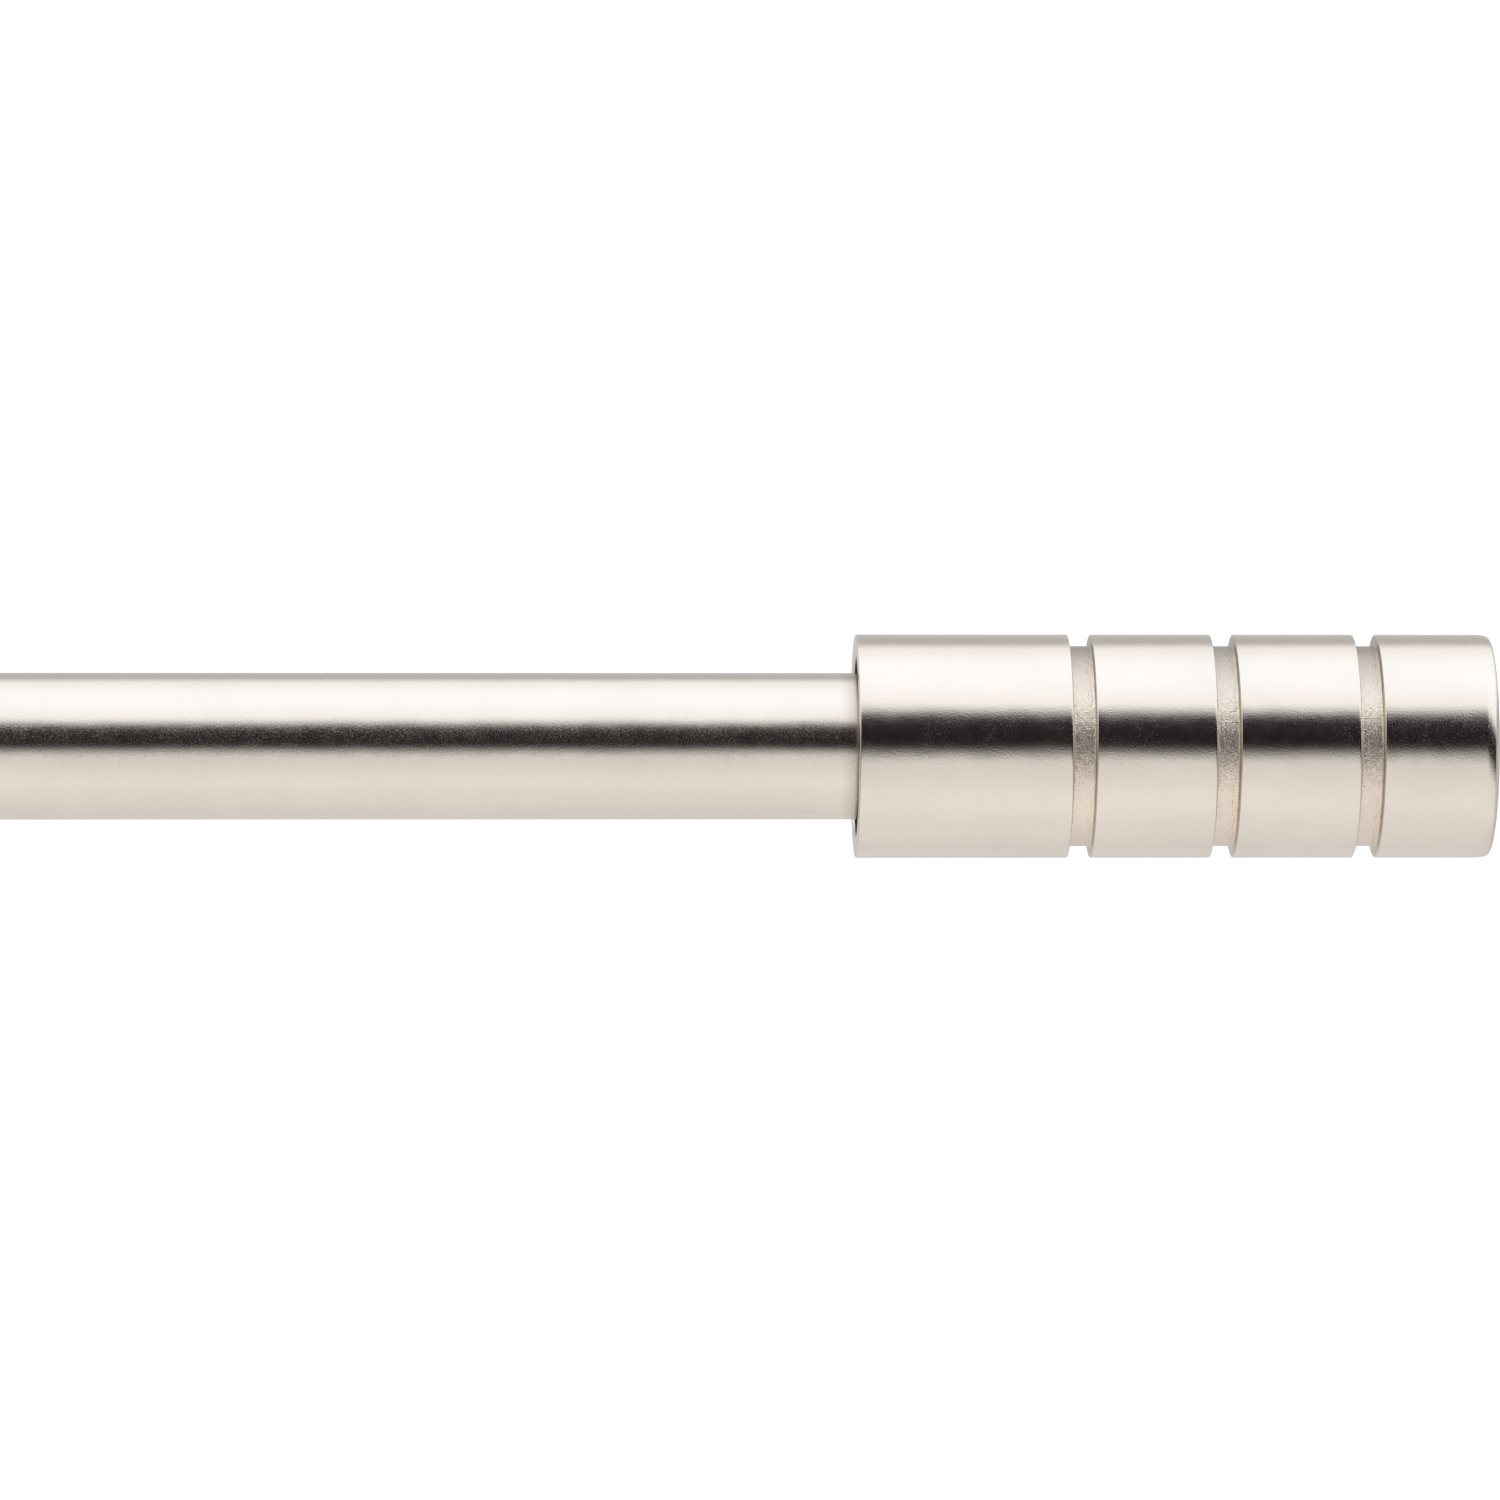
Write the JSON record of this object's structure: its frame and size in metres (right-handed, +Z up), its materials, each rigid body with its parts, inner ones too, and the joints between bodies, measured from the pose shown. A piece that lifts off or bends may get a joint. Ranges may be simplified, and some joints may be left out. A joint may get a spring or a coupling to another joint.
{
  "type": "curtain rod with brackets",
  "caption": "Telescopic curtain rod in satin nickel with a grooved cylindrical finial at each end, held in open cups on round-rose wall brackets with thumbscrews.",
  "frame": {"origin": "centre of the left bracket's wall plate, on the wall", "axes": "+X along the rod towards the thin tube, +Y into the wall, +Z up"},
  "size_m": [0.9786, 0.1443, 0.045],
  "materials": {
    "satin_nickel": "satin nickel plate, warm grey, softly blurred reflections",
    "cast_nickel": "satin nickel plate on a casting, slightly duller than the tubes",
    "zinc_steel": "zinc-plated steel, matt",
    "white_nylon": "natural white moulded nylon",
    "grey_nylon": "grey moulded nylon"
  },
  "bodies": {
    "left_bracket": {"left_wall_plate": "zinc_steel", "left_rose": "cast_nickel", "left_rose_screw": "zinc_steel", "left_grub_screw": "zinc_steel", "left_post": "satin_nickel", "left_cup_screw": "zinc_steel", "left_cup": "cast_nickel", "left_upper_wall_screw": "zinc_steel", "left_upper_wall_plug": "grey_nylon", "left_lower_wall_screw": "zinc_steel", "left_lower_wall_plug": "grey_nylon"},
    "outer_tube": {"outer_tube": "satin_nickel"},
    "inner_tube": {"inner_tube": "satin_nickel", "inner_tube_guide": "white_nylon"},
    "left_finial": {"left_finial_cap": "satin_nickel", "left_finial_insert": "white_nylon", "left_finial_screw": "zinc_steel"},
    "right_finial": {"right_finial_cap": "satin_nickel", "right_finial_insert": "white_nylon", "right_finial_screw": "zinc_steel"},
    "right_bracket": {"right_wall_plate": "zinc_steel", "right_rose": "cast_nickel", "right_rose_screw": "zinc_steel", "right_grub_screw": "zinc_steel", "right_post": "satin_nickel", "right_cup_screw": "zinc_steel", "right_cup": "cast_nickel", "right_upper_wall_screw": "zinc_steel", "right_upper_wall_plug": "grey_nylon", "right_lower_wall_screw": "zinc_steel", "right_lower_wall_plug": "grey_nylon", "right_cup_liner": "white_nylon"},
    "left_pad": {"left_thumbscrew_pad": "white_nylon"},
    "left_thumbscrew": {"left_thumbscrew": "satin_nickel"},
    "right_pad": {"right_thumbscrew_pad": "white_nylon"},
    "right_thumbscrew": {"right_thumbscrew": "satin_nickel"}
  },
  "joints": [
    {"name": "rod_lift", "type": "slide", "parent": "left_bracket", "child": "outer_tube", "axis": [0, 0, 1], "range_m": [0, 0.03]},
    {"name": "rod_extend", "type": "slide", "parent": "outer_tube", "child": "inner_tube", "axis": [1, 0, 0], "range_m": [-0.04, 0.339]},
    {"name": "left_finial_pull", "type": "slide", "parent": "outer_tube", "child": "left_finial", "axis": [-1, 0, 0], "range_m": [0, 0.03]},
    {"name": "right_finial_pull", "type": "slide", "parent": "inner_tube", "child": "right_finial", "axis": [1, 0, 0], "range_m": [0, 0.03]},
    {"name": "bracket_spacing", "type": "slide", "parent": "left_bracket", "child": "right_bracket", "axis": [1, 0, 0], "range_m": [-0.04, 0.339]},
    {"name": "left_pad_travel", "type": "slide", "parent": "left_bracket", "child": "left_pad", "axis": [0, -1, 0], "range_m": [0, 0.0014]},
    {"name": "left_thumbscrew_turn", "type": "hinge", "parent": "left_pad", "child": "left_thumbscrew", "pos_m": [0, -0.105, 0], "axis": [0, 1, 0], "range_deg": [0, 720]},
    {"name": "right_pad_travel", "type": "slide", "parent": "right_bracket", "child": "right_pad", "axis": [0, -1, 0], "range_m": [0, 0.0014]},
    {"name": "right_thumbscrew_turn", "type": "hinge", "parent": "right_pad", "child": "right_thumbscrew", "pos_m": [0.59, -0.105, 0], "axis": [0, 1, 0], "range_deg": [0, 720]}
  ],
  "couplings": [
    {"joint": "bracket_spacing", "follows": "rod_extend", "ratio": 1},
    {"joint": "left_pad_travel", "follows": "left_thumbscrew_turn", "m_per_rad": 0.00011141},
    {"joint": "right_pad_travel", "follows": "right_thumbscrew_turn", "m_per_rad": 0.00011141}
  ]
}
